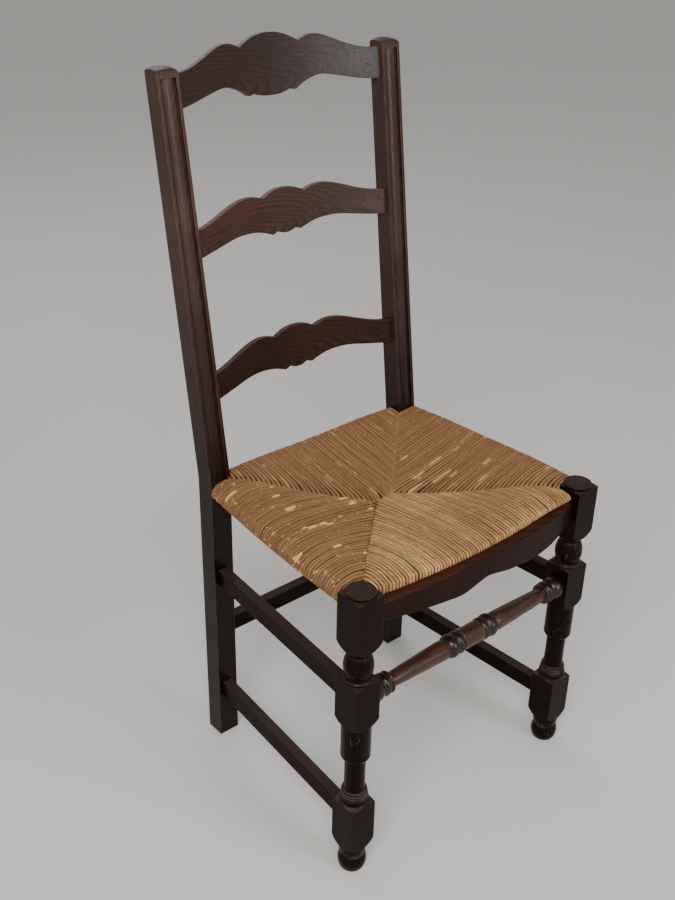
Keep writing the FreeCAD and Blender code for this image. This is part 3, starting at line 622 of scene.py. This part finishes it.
def cord_line(panel, across, radius, settings, lift):
    """The middle line of one cord as (outwards, height, shift along the panel): up from the seam,
    over the rail, and back below."""
    facts = PANELS[panel]
    edge = panel_edge(panel, across)
    reach = edge - seam_out(panel, across)
    at_seam = facts["skew"] * reach
    start = seam_out(panel, across + at_seam) - facts["over"]
    bend = facts["radius"]
    half = 0 if across < sum(facts["ends"]) / 2 else 1
    turn_in = facts["turn_in"][half] * min(1.0, reach / SHORT_CORD)
    drop = edge_drop(panel, across)
    sink = SEAM_SINK["over" if facts["over"] > 0 else "under"]
    # Above the apron the front cords lap forward over it towards the right leg
    lap = APRON_LAP * max(0.0, across / LEG_FACE_X) ** 2.5 if panel == "front" else 0.0
    line = []

    def share_at(out):
        return clamp((out - start) / max(edge - start, 0.001))

    def shift_at(out):
        share = share_at(out)
        straight = at_seam * (1 - share) + facts["bulge"] * reach * math.sin(math.pi * share)
        return straight - turn_in * math.exp(-max(0.0, out - start) / TURN_IN_FADE)

    def in_plan(out, along):
        return [facts["out"][i] * out + facts["along"][i] * along for i in (0, 1)]

    def top_at(out):
        place = in_plan(out, across + shift_at(out))
        share = share_at(out)
        swell = settings.pillow * math.sin(math.pi * share) ** 0.7 - sink * (1 - share) ** 8
        near_edge = max(0.0, 1 - (edge - out) / EDGE_SLOPE)
        swell -= drop * near_edge ** 1.7
        return seat_top(*place, settings) + swell + lift - radius

    def low_at(out):
        x, y = in_plan(out, across)
        sag = SAG * max(0.0, 1 - (x ** 2 + (y - DISH_Y) ** 2) / SAG_SPREAD)
        return low - sag - UNDER_PILLOW * math.sin(math.pi * share_at(out))

    def add(out, height):
        above_apron = clamp((height - apron_high.z - radius) / APRON_LAP_OVER)
        forward = above_apron * min(1.0, share_at(out) * 3)
        line.append((out + lap * forward, height, shift_at(out)))

    def add_run(begin, end, step, height_at):
        count = max(1, int((last - flat_start) / step))
        for i in range(count + 1):
            out = begin + (end - begin) * i / count
            add(out, height_at(out))

    last = edge - bend
    flat_start = start + SEAM_TURN
    first = top_at(flat_start)
    add(start - CORD_END_IN, first - SEAM_TURN - settings.seam_dip * 0.6)
    for degrees in SEAM_ANGLES:
        a = math.radians(degrees)
        add(start + SEAM_TURN * (1 - math.cos(a)), first - SEAM_TURN * (1 - math.sin(a)))
    add_run(flat_start, last, STEP, top_at)

    rim = top_at(last)
    inner = bend - radius
    low = seat_low.z + radius
    low_edge = low + inner
    for degrees in EDGE_ANGLES:
        a = math.radians(degrees)
        add(last + inner * math.cos(a), rim - inner * (1 - math.sin(a)))
    if rim - inner > low_edge + 0.002:
        add(edge - radius, (rim - inner + low_edge) / 2)
    for degrees in reversed(EDGE_ANGLES):
        a = math.radians(-degrees)
        add(last + inner * math.cos(a), low_edge + inner * math.sin(a))

    add_run(last, flat_start, LOW_STEP, low_at)
    floor = low_at(flat_start)
    for degrees in reversed(SEAM_ANGLES):
        a = math.radians(degrees)
        add(start + SEAM_TURN * (1 - math.cos(a)), floor + SEAM_TURN * (1 - math.sin(a)))
    return np.array(line)


def packing_core(settings):
    """The rush stuffed between the two layers of cord. Its colour is painted shade in the gaps
    between the cords. It is a closed quilt of two grids joined round their edges."""
    clear = 3.0 * settings.cord_radius
    inset = 0.030
    sunk = 0.001
    thinnest = 0.0005
    columns, rows = 31, 29
    vertices, faces = [], []
    for side in (1, -1):
        for j in range(rows):
            for i in range(columns):
                y = seat_low.y + inset + (seat_high.y - seat_low.y - 2 * inset) * j / (rows - 1)
                x = (seat_side_x(y, "left") - inset) * (2 * i / (columns - 1) - 1)
                top = seat_top(x, y, settings)
                middle = (top + seat_low.z) / 2 - sunk
                half = max(thinnest, (top - seat_low.z) / 2 - clear)
                vertices.append((x, y, middle + side * half))
    size = columns * rows
    for j in range(rows - 1):
        for i in range(columns - 1):
            a = j * columns + i
            b = a + columns
            faces.append((a, a + 1, b + 1, b))
            faces.append((b + size, b + size + 1, a + size + 1, a + size))
    edge = [(i, 0) for i in range(columns)] + [(columns - 1, j) for j in range(1, rows)]
    edge += [(i, rows - 1) for i in reversed(range(columns - 1))]
    edge += [(0, j) for j in reversed(range(1, rows - 1))]
    for (i, j), (k, m) in zip(edge, edge[1:] + edge[:1]):
        a, b = j * columns + i, m * columns + k
        faces.append((b, a, a + size, b + size))
    mesh = bpy.data.meshes.new("rush_packing")
    mesh.from_pydata(vertices, [], faces)
    return mesh


def weave(panel, settings):
    """All cords of one panel as a mesh: a round tube along each line, a little uneven as rush is.
    Its UVs run once round a cord, and along it in metres."""
    facts = PANELS[panel]
    rng = np.random.default_rng(facts["seed"])
    first, last = facts["ends"]
    clear = settings.cord_radius + END_CLEARANCE
    room = last - first - 2 * clear
    count = round(room / settings.cord_spacing)
    sides = 8
    turns = np.arange(sides) / sides * 2 * math.pi
    vertices, faces, uvs, strands, rims = [], [], [], [], []
    base = 0
    for k in range(count + 1):
        across = first + clear + room * k / count
        radius = settings.cord_radius * rng.uniform(1 - facts["uneven"], 1 + facts["uneven"])
        lift = rng.normal(0, LIFT * facts["uneven"])
        line = cord_line(panel, across, radius, settings, lift)
        line, shift = line[:, :2], line[:, 2]
        n = len(line)
        steps = np.linalg.norm(np.diff(line, axis=0), axis=1)
        length = np.concatenate([[0], np.cumsum(steps)])
        phase = rng.uniform(0, 6.28, 4)
        waves = [size * np.sin(length / over + turn)
                 for (size, over), turn in zip(WANDERS + LUMPS, phase)]
        wander = waves[0] + waves[1] + rng.normal(0, ASIDE)
        thick = radius * (1 + waves[2] + waves[3])
        tangent = np.gradient(line, axis=0)
        tangent /= np.linalg.norm(tangent, axis=1)[:, None]
        normal = np.stack([-tangent[:, 1], tangent[:, 0]], axis=1)
        out = line[:, 0:1] + thick[:, None] * normal[:, 0:1] * np.sin(turns)
        z = line[:, 1:2] + thick[:, None] * normal[:, 1:2] * np.sin(turns)
        side = across + shift[:, None] + wander[:, None] + np.outer(thick, np.cos(turns))
        plan = [facts["out"][i] * out + facts["along"][i] * side for i in (0, 1)]
        vertices.append(np.stack([*plan, z], axis=2).reshape(-1, 3))
        strands.append(np.full(n * sides, rng.uniform()))
        near_rim = 1 - (panel_edge(panel, across) - line[:, 0]) / RIM_WIDTH
        rims.append(np.repeat(np.clip(near_rim, 0, 1), sides))
        for i in range(n - 1):
            for j in range(sides):
                a = base + i * sides + j
                b = base + i * sides + (j + 1) % sides
                faces.append((a, b, b + sides, a + sides))
                u0, u1 = j / sides, (j + 1) / sides
                v0, v1 = length[i], length[i + 1]
                uvs += [(u0, v0), (u1, v0), (u1, v1), (u0, v1)]
        faces.append(tuple(base + j for j in reversed(range(sides))))
        faces.append(tuple(base + (n - 1) * sides + j for j in range(sides)))
        uvs += [(j / sides, 0.0) for j in reversed(range(sides))]
        uvs += [(j / sides, length[-1]) for j in range(sides)]
        base += n * sides
    mesh = bpy.data.meshes.new("rush_" + panel)
    mesh.from_pydata(np.concatenate(vertices).tolist(), [], faces)
    layer = mesh.uv_layers.new(name="cord")
    layer.data.foreach_set("uv", np.array(uvs, dtype=np.float32).ravel())
    # The last mark is how much painted shade darkens the whole panel
    marks = {"strand": np.concatenate(strands), "rim": np.concatenate(rims),
             "frayed": np.full(base, facts["frayed"]), "dusty": np.full(base, facts["dusty"])}
    for name, values in marks.items():
        attribute = mesh.attributes.new(name, "FLOAT", "POINT")
        attribute.data.foreach_set("value", values.astype(np.float32))
    mesh.shade_smooth()
    return mesh


def add_object(name, data):
    thing = bpy.data.objects.new(name, data)
    bpy.context.scene.collection.objects.link(thing)
    return thing


def add_piece(name, mesh, material):
    piece = add_object(name, mesh)
    mesh.materials.append(material)
    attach(piece, "root")
    return piece


def dress(nodes, material):
    """Gives pieces of the frame their finish."""
    for node in nodes:
        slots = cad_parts[node].data.materials
        slots.clear()
        slots.append(material)


def stains(settings, *names):
    return [getattr(settings, name) for name in names]


# Stain, grain and rubbed wood of the dark and the red pieces
DARK = ("dark_stain", "dark_grain", "dark_rubbed")
RED = ("red_stain", "red_grain", "red_rubbed")

# How dark each slat came out of the same stain, and how much it shines
SLATS = {"ladder_slat_top": (0.44, 0.34), "ladder_slat_middle": (0.78, 0.28),
         "ladder_slat_bottom": (0.52, 0.12)}
# Heights of the turned grooves on the front legs, and of their scuffed lengths: foot, cup and ball
LEG_GROOVES = ((0.0270, 0.0280), (0.1248, 0.1256), (0.1350, 0.1355), (0.1385, 0.1389),
               (0.1425, 0.1429), (0.1467, 0.1473), (0.3366, 0.3374))
LEG_SCUFFS = ((0.006, 0.036), (0.210, 0.254), (0.344, 0.368))
# How far from the middle of the turned stretcher its grooves and its groups of rings are
STRETCHER_GROOVES = ((0.0176, 0.0184), (0.0286, 0.0294), (0.0456, 0.0462), (0.1560, 0.1568),
                     (0.1684, 0.1692))
STRETCHER_RINGS = ((0.0180, 0.0455), (0.1515, 0.24))
STRETCHER_REACH = 0.25


def ring_groups(tree, place):
    """The turned groups of the front stretcher, in its middle and at its ends, are darker."""
    return spans(tree, place[0], STRETCHER_REACH, STRETCHER_RINGS, 0.0008)


def top_edge(tree, place):
    """The rounded top edge of the apron, where the dark stain is rubbed back to red."""
    return add_node(tree, "MapRange", {
        "Value": place[2], "From Min": apron_high.z - 0.0050, "From Max": apron_high.z - 0.0030})


def handled_and_sheen_part(tree, place):
    """The upper part of the posts, from a little above the seat up to their darker caps, where
    the stain is worn lighter by hands and lighter still as painted sheen.
    """
    hands = add_node(tree, "MapRange", {"Value": place[2], "From Min": 0.42, "From Max": 0.75})
    caps = add_node(tree, "MapRange", {"Value": place[2], "From Min": 1.022, "From Max": 1.006})
    return add_node(tree, "Math", {0: hands, 1: caps}, operation="MULTIPLY")


class CHAIR_OT_finish_slats(bpy.types.Operator):
    """Stains the three bowed slats red, each as dark as it came out, and waxes them"""

    bl_idname = "chair.finish_slats"
    bl_label = "Finish the slats"

    def execute(self, context):
        settings = context.scene.chair_oak
        for node, (dark, gloss) in SLATS.items():
            low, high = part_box(node)
            heart = ((low.x + high.x) / 2 - 0.03, 0.0, low.z + 0.4 * (high.z - low.z))
            tones = [shade(tone, dark) for tone in stains(settings, *RED)]
            dress([node], oak(
                "red_stained_oak_" + node, "X", tones, settings, heart=heart, grain_depth=0.7,
                top_dust_and_sheen=0.03, gloss=gloss, pore_depth=0.25, bumpy=0.9, ring_width=0.0046,
                wavy=0.034, rub=0.7))
        return {"FINISHED"}


class CHAIR_OT_finish_posts(bpy.types.Operator):
    """Stains the two rear posts, with their upper parts worn lighter by hands and as painted sheen
    """

    bl_idname = "chair.finish_posts"
    bl_label = "Finish the posts"

    def execute(self, context):
        settings = context.scene.chair_oak
        tones = stains(settings, "dark_stain", "dark_grain", "red_rubbed")
        dress(["rear_post_left", "rear_post_right"], oak(
            "dark_stained_oak_posts", "Z", tones, settings,
            second=(handled_and_sheen_part, settings.post_stain_and_sheen), rub=0.65, gloss=0.14, shine=0.20,
            grain_depth=0.3, pore_depth=0.5, top_dust_and_sheen=0.0))
        return {"FINISHED"}


class CHAIR_OT_finish_legs(bpy.types.Operator):
    """Stains the two turned front legs, with wax in their grooves and scuffs below"""

    bl_idname = "chair.finish_legs"
    bl_label = "Finish the front legs"

    def execute(self, context):
        settings = context.scene.chair_oak
        dress(["front_leg_left", "front_leg_right"], oak(
            "dark_stained_oak_turned", "Z", stains(settings, *DARK), settings,
            wax_lines=LEG_GROOVES, scuffed=LEG_SCUFFS, gloss=0.06, shine=0.14, rub=0.4,
            bumpy=0.3, top_dust_and_sheen=0.20))
        return {"FINISHED"}


class CHAIR_OT_finish_apron(bpy.types.Operator):
    """Stains the bowed apron, with its slanting figure and its rubbed top edge"""

    bl_idname = "chair.finish_apron"
    bl_label = "Finish the apron"

    def execute(self, context):
        settings = context.scene.chair_oak
        tones = stains(settings, "apron_stain", "dark_grain", "dark_rubbed")
        dress(["front_apron"], oak(
            "dark_stained_oak_apron", "X", tones, settings,
            second=(top_edge, shade(settings.red_stain, 0.6)),
            heart=(-0.35, 0.0, apron_low.z - 0.08), grain_depth=0.95, gloss=0.05, shine=0.24,
            bumpy=1.0, ring_width=0.0038, top_dust_and_sheen=0.0))
        return {"FINISHED"}


class CHAIR_OT_finish_stretchers(bpy.types.Operator):
    """Stains the turned stretcher red with dark rings, and the five plain ones dark"""

    bl_idname = "chair.finish_stretchers"
    bl_label = "Finish the stretchers"

    def execute(self, context):
        settings = context.scene.chair_oak
        dark, red = stains(settings, *DARK), stains(settings, *RED)
        dress(["front_stretcher"], oak(
            "red_stained_oak_turned", "X", [shade(red[0], 0.92), red[1], red[2]], settings,
            second=(ring_groups, shade(dark[0], 1.5)), wax_lines=STRETCHER_GROOVES, rub=0.68,
            gloss=0.36, shine=0.20, grain_depth=0.6, top_dust_and_sheen=0.0))
        dress(["rear_stretcher"], oak(
            "dark_stained_oak_grain_x", "X", dark, settings, top_dust_and_sheen=0.28))
        sides = ["side_stretcher_%s_%s" % (level, side)
                 for level in ("lower", "upper") for side in ("left", "right")]
        dress(sides, oak("dark_stained_oak_grain_y", "Y", dark, settings, top_dust_and_sheen=0.28))
        return {"FINISHED"}


class CHAIR_OT_finish_rails(bpy.types.Operator):
    """Leaves the rails inside the seat as bare oak"""

    bl_idname = "chair.finish_rails"
    bl_label = "Finish the seat rails"

    def execute(self, context):
        settings = context.scene.chair_oak
        tones = stains(settings, "rail_wood", "red_stain", "rail_wood")
        for axis, sides in (("X", ("back", "front")), ("Y", ("left", "right"))):
            material = oak("plain_oak_rails_" + axis.lower(), axis, tones, settings)
            dress(["seat_rail_" + side for side in sides], material)
        return {"FINISHED"}


class CHAIR_OT_weave_seat(bpy.types.Operator):
    """Weaves the four panels of rush cord over the rails, and packs them"""

    bl_idname = "chair.weave_seat"
    bl_label = "Weave the seat"

    def execute(self, context):
        settings = context.scene.chair_rush
        material = rush("twisted_rush", settings)
        for panel in PANELS:
            piece = add_piece("rush_cords_" + panel, weave(panel, settings), material)
            if panel == "front":
                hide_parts("rush_seat")
        packing = shaded_packing("rush_packing")
        add_piece("rush_packing", packing_core(settings), packing)
        return {"FINISHED"}


# The camera's turn, tilt and roll in degrees, its lens in millimetres, its place in metres
CAMERA_ANGLES = (-41.0514, 29.1227, 1.2372)
CAMERA_LENS = 45.7075
CAMERA_PLACE = (-0.96649, -1.04075, 1.28953)
FLOOR_REACH = 9.0
LAMP_TARGET = (0, 0, 0.5)


class CHAIR_OT_set_stage(bpy.types.Operator):
    """Lays the floor and sets the lights and the camera"""

    bl_idname = "chair.set_stage"
    bl_label = "Set the stage"

    def execute(self, context):
        stage = context.scene.chair_stage
        r = FLOOR_REACH
        mesh = bpy.data.meshes.new("floor")
        mesh.from_pydata([(-r, -r, 0), (r, -r, 0), (r, r, 0), (-r, r, 0)], [], [(0, 1, 2, 3)])
        mesh.materials.append(floor_paint("floor_paint", stage.floor))
        floor = add_object("floor", mesh)

        world = bpy.data.worlds.new("room")
        world.use_nodes = True
        background = world.node_tree.nodes["Background"]
        background.inputs["Color"].default_value = (1.0, 0.97, 0.94, 1.0)
        background.inputs["Strength"].default_value = stage.sky
        context.scene.world = world
        # Name, place, width and height, power and tint of each soft lamp
        lamps = (
            ("key", (-1.7, -1.5, 2.3), (1.6, 1.2), stage.key_power, (1.0, 0.97, 0.93)),
            ("fill", (0.5, -2.4, 1.4), (1.0, 1.4), stage.fill_power, (0.95, 0.97, 1.0)),
            ("rim", (0.6, 2.4, 2.6), (1.8, 1.2), 0.6 * stage.fill_power, (1.0, 1.0, 1.0)),
        )
        for name, place, size, power, tint in lamps:
            lamp = bpy.data.lights.new(name, "AREA")
            lamp.shape = "RECTANGLE"
            lamp.size, lamp.size_y = size
            lamp.energy = power
            lamp.color = tint
            stand = add_object(name, lamp)
            stand.location = place
            aim = Vector(LAMP_TARGET) - Vector(place)
            stand.rotation_euler = aim.to_track_quat("-Z", "Y").to_euler()

        yaw, pitch, roll = (math.radians(angle) for angle in CAMERA_ANGLES)
        forward = Vector((-math.sin(yaw) * math.cos(pitch), math.cos(yaw) * math.cos(pitch),
                          -math.sin(pitch)))
        level = Vector((math.cos(yaw), math.sin(yaw), 0))
        upright = level.cross(forward)
        right = level * math.cos(roll) + upright * math.sin(roll)
        up = -level * math.sin(roll) + upright * math.cos(roll)
        camera = bpy.data.cameras.new("camera")
        camera.sensor_width = 36.0
        camera.lens = CAMERA_LENS
        stand = add_object("camera", camera)
        stand.matrix_world = Matrix((right, up, -forward)).transposed().to_4x4()
        stand.location = CAMERA_PLACE
        context.scene.camera = stand
        return {"FINISHED"}


class CHAIR_PT_panel(bpy.types.Panel):
    """Sizes, colours and steps of the chair"""

    bl_idname = "CHAIR_PT_panel"
    bl_label = "Ladderback chair"
    bl_space_type = "VIEW_3D"
    bl_region_type = "UI"
    bl_category = "Chair"

    def draw(self, context):
        for operator in OPERATORS:
            self.layout.operator(operator.bl_idname)
        for name, group in SETTINGS.items():
            box = self.layout.box()
            for field in group.__annotations__:
                box.prop(getattr(context.scene, name), field)


SETTINGS = {"chair_rush": ChairRushSettings, "chair_oak": ChairOakSettings,
            "chair_stage": ChairStageSettings}
OPERATORS = (CHAIR_OT_finish_slats, CHAIR_OT_finish_posts, CHAIR_OT_finish_legs,
             CHAIR_OT_finish_apron, CHAIR_OT_finish_stretchers, CHAIR_OT_finish_rails,
             CHAIR_OT_weave_seat, CHAIR_OT_set_stage)
CLASSES = (*SETTINGS.values(), *OPERATORS, CHAIR_PT_panel)


def register():
    for cls in CLASSES:
        bpy.utils.register_class(cls)
    for name, group in SETTINGS.items():
        setattr(bpy.types.Scene, name, bpy.props.PointerProperty(type=group))


def unregister():
    for name in SETTINGS:
        delattr(bpy.types.Scene, name)
    for cls in reversed(CLASSES):
        bpy.utils.unregister_class(cls)


def main():
    register()
    bpy.ops.chair.finish_slats()
    bpy.ops.chair.finish_posts()
    bpy.ops.chair.finish_legs()
    bpy.ops.chair.finish_apron()
    bpy.ops.chair.finish_stretchers()
    bpy.ops.chair.finish_rails()
    bpy.ops.chair.weave_seat()
    bpy.ops.chair.set_stage()


if __name__ == "__main__":
    main()
